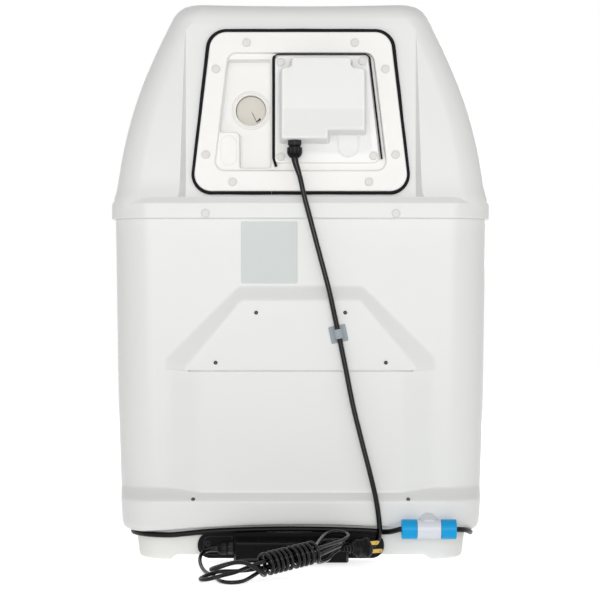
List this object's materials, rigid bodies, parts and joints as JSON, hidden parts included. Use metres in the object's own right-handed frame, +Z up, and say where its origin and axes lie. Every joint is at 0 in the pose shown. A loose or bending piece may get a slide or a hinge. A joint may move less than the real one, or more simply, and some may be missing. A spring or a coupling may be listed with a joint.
{
  "type": "composting toilet",
  "caption": "Mains-powered self-contained composting toilet: moulded body with seat and lid, cranked drum, finishing drawer, rear vent socket, fan cover and leads.",
  "frame": {"origin": "floor plane under the middle of the toilet's body, feet on z = 0", "axes": "+Z up, +Y towards the back with the vent socket and the leads, -Y towards the drawer and crank, +X to the user's left when seated facing -Y"},
  "size_m": [0.489, 0.8164, 0.712],
  "materials": {
    "body_plastic": "glossy white moulded polyethylene",
    "pan_plastic": "warm off-white moulded plastic, satin",
    "cover_plastic": "cream-white sheet plastic, glossy",
    "cap_plastic": "pale screw caps, satin",
    "seal_foam": "black foam rubber seal",
    "black_plastic": "black moulded plastic, satin",
    "cable_jacket": "black flexible cable jacket, slightly glossy",
    "hose_rubber": "black flexible hose, satin",
    "clip_plastic": "grey-blue adhesive cable clip",
    "label_film": "blank pale label film, satin",
    "tee_blue": "blue push-fit collar, glossy",
    "tee_clear": "milky translucent tee body",
    "brass": "plain brass blades, worn shine",
    "steel": "zinc-plated steel",
    "liner_plastic": "cream moulded liner, glossy",
    "drum_plastic": "dark grey drum plastic, matte"
  },
  "bodies": {
    "body": {"lower_casing": "body_plastic", "upper_shell": "body_plastic", "hinge_bracket_1": "body_plastic", "hinge_bracket_2": "body_plastic", "base_pan": "pan_plastic", "rear_cover": "cover_plastic", "fan_cover": "cover_plastic", "vent_tube": "cover_plastic", "rear_cover_cap_1": "cap_plastic", "rear_cover_cap_2": "cap_plastic", "rear_cover_cap_3": "cap_plastic", "rear_cover_cap_4": "cap_plastic", "rear_cover_cap_5": "cap_plastic", "rear_cover_cap_6": "cap_plastic", "rear_cover_cap_7": "cap_plastic", "rear_cover_cap_8": "cap_plastic", "fan_cover_cap_1": "cap_plastic", "fan_cover_cap_2": "cap_plastic", "fan_cover_cap_3": "cap_plastic", "fan_cover_cap_4": "cap_plastic", "belt_cap_1": "cap_plastic", "belt_cap_2": "cap_plastic", "rear_cover_seal": "seal_foam", "fan_cover_seal": "seal_foam", "fan_gland": "black_plastic", "mains_gland": "black_plastic", "lead_gland": "black_plastic", "fan_frame": "black_plastic", "front_bearing": "black_plastic", "rear_bearing": "black_plastic", "terminal_plate": "black_plastic", "terminal_box": "black_plastic", "fan_lead": "cable_jacket", "mains_lead": "cable_jacket", "mains_lead_end": "cable_jacket", "mains_hank": "cable_jacket", "mains_plug": "cable_jacket", "drain_hose_1": "hose_rubber", "drain_hose_2": "hose_rubber", "cable_clip": "clip_plastic", "rating_label": "label_film", "tee_collar_1": "tee_blue", "tee_collar_2": "tee_blue", "drain_tee": "tee_clear", "plug_blade_1": "brass", "plug_blade_2": "brass", "hinge_pin": "steel", "heating_element": "steel", "plate_screw_1": "steel", "plate_screw_2": "steel", "bowl_liner": "liner_plastic"},
    "seat": {"seat_ring": "body_plastic"},
    "lid": {"seat_lid": "body_plastic"},
    "drum": {"compost_drum": "drum_plastic", "crank_handle": "black_plastic"},
    "knob": {"crank_knob": "black_plastic"},
    "drawer": {"finishing_drawer": "pan_plastic"},
    "fan": {"fan_impeller": "black_plastic"},
    "damper": {"vent_damper": "liner_plastic"}
  },
  "joints": [
    {"name": "seat_hinge", "type": "hinge", "parent": "body", "child": "seat", "pos_m": [0, 0.12, 0.5], "axis": [1, 0, 0], "range_deg": [-95, 0]},
    {"name": "lid_hinge", "type": "hinge", "parent": "seat", "child": "lid", "pos_m": [0, 0.12, 0.5], "axis": [-1, 0, 0], "range_deg": [0, 100]},
    {"name": "drum_spin", "type": "hinge", "parent": "body", "child": "drum", "pos_m": [0, 0, 0.283], "axis": [0, 1, 0], "continuous": true},
    {"name": "knob_spin", "type": "hinge", "parent": "drum", "child": "knob", "pos_m": [-0.06768, -0.3, 0.2367], "axis": [0, 1, 0], "continuous": true},
    {"name": "drawer_slide", "type": "slide", "parent": "body", "child": "drawer", "axis": [0, -1, 0], "range_m": [0, 0.33]},
    {"name": "fan_spin", "type": "hinge", "parent": "body", "child": "fan", "pos_m": [-0.027, 0.28, 0.597], "axis": [0, 1, 0], "continuous": true},
    {"name": "damper_turn", "type": "hinge", "parent": "body", "child": "damper", "pos_m": [0.064, 0.2373, 0.575], "axis": [0, 0, 1], "range_deg": [0, 80]}
  ]
}
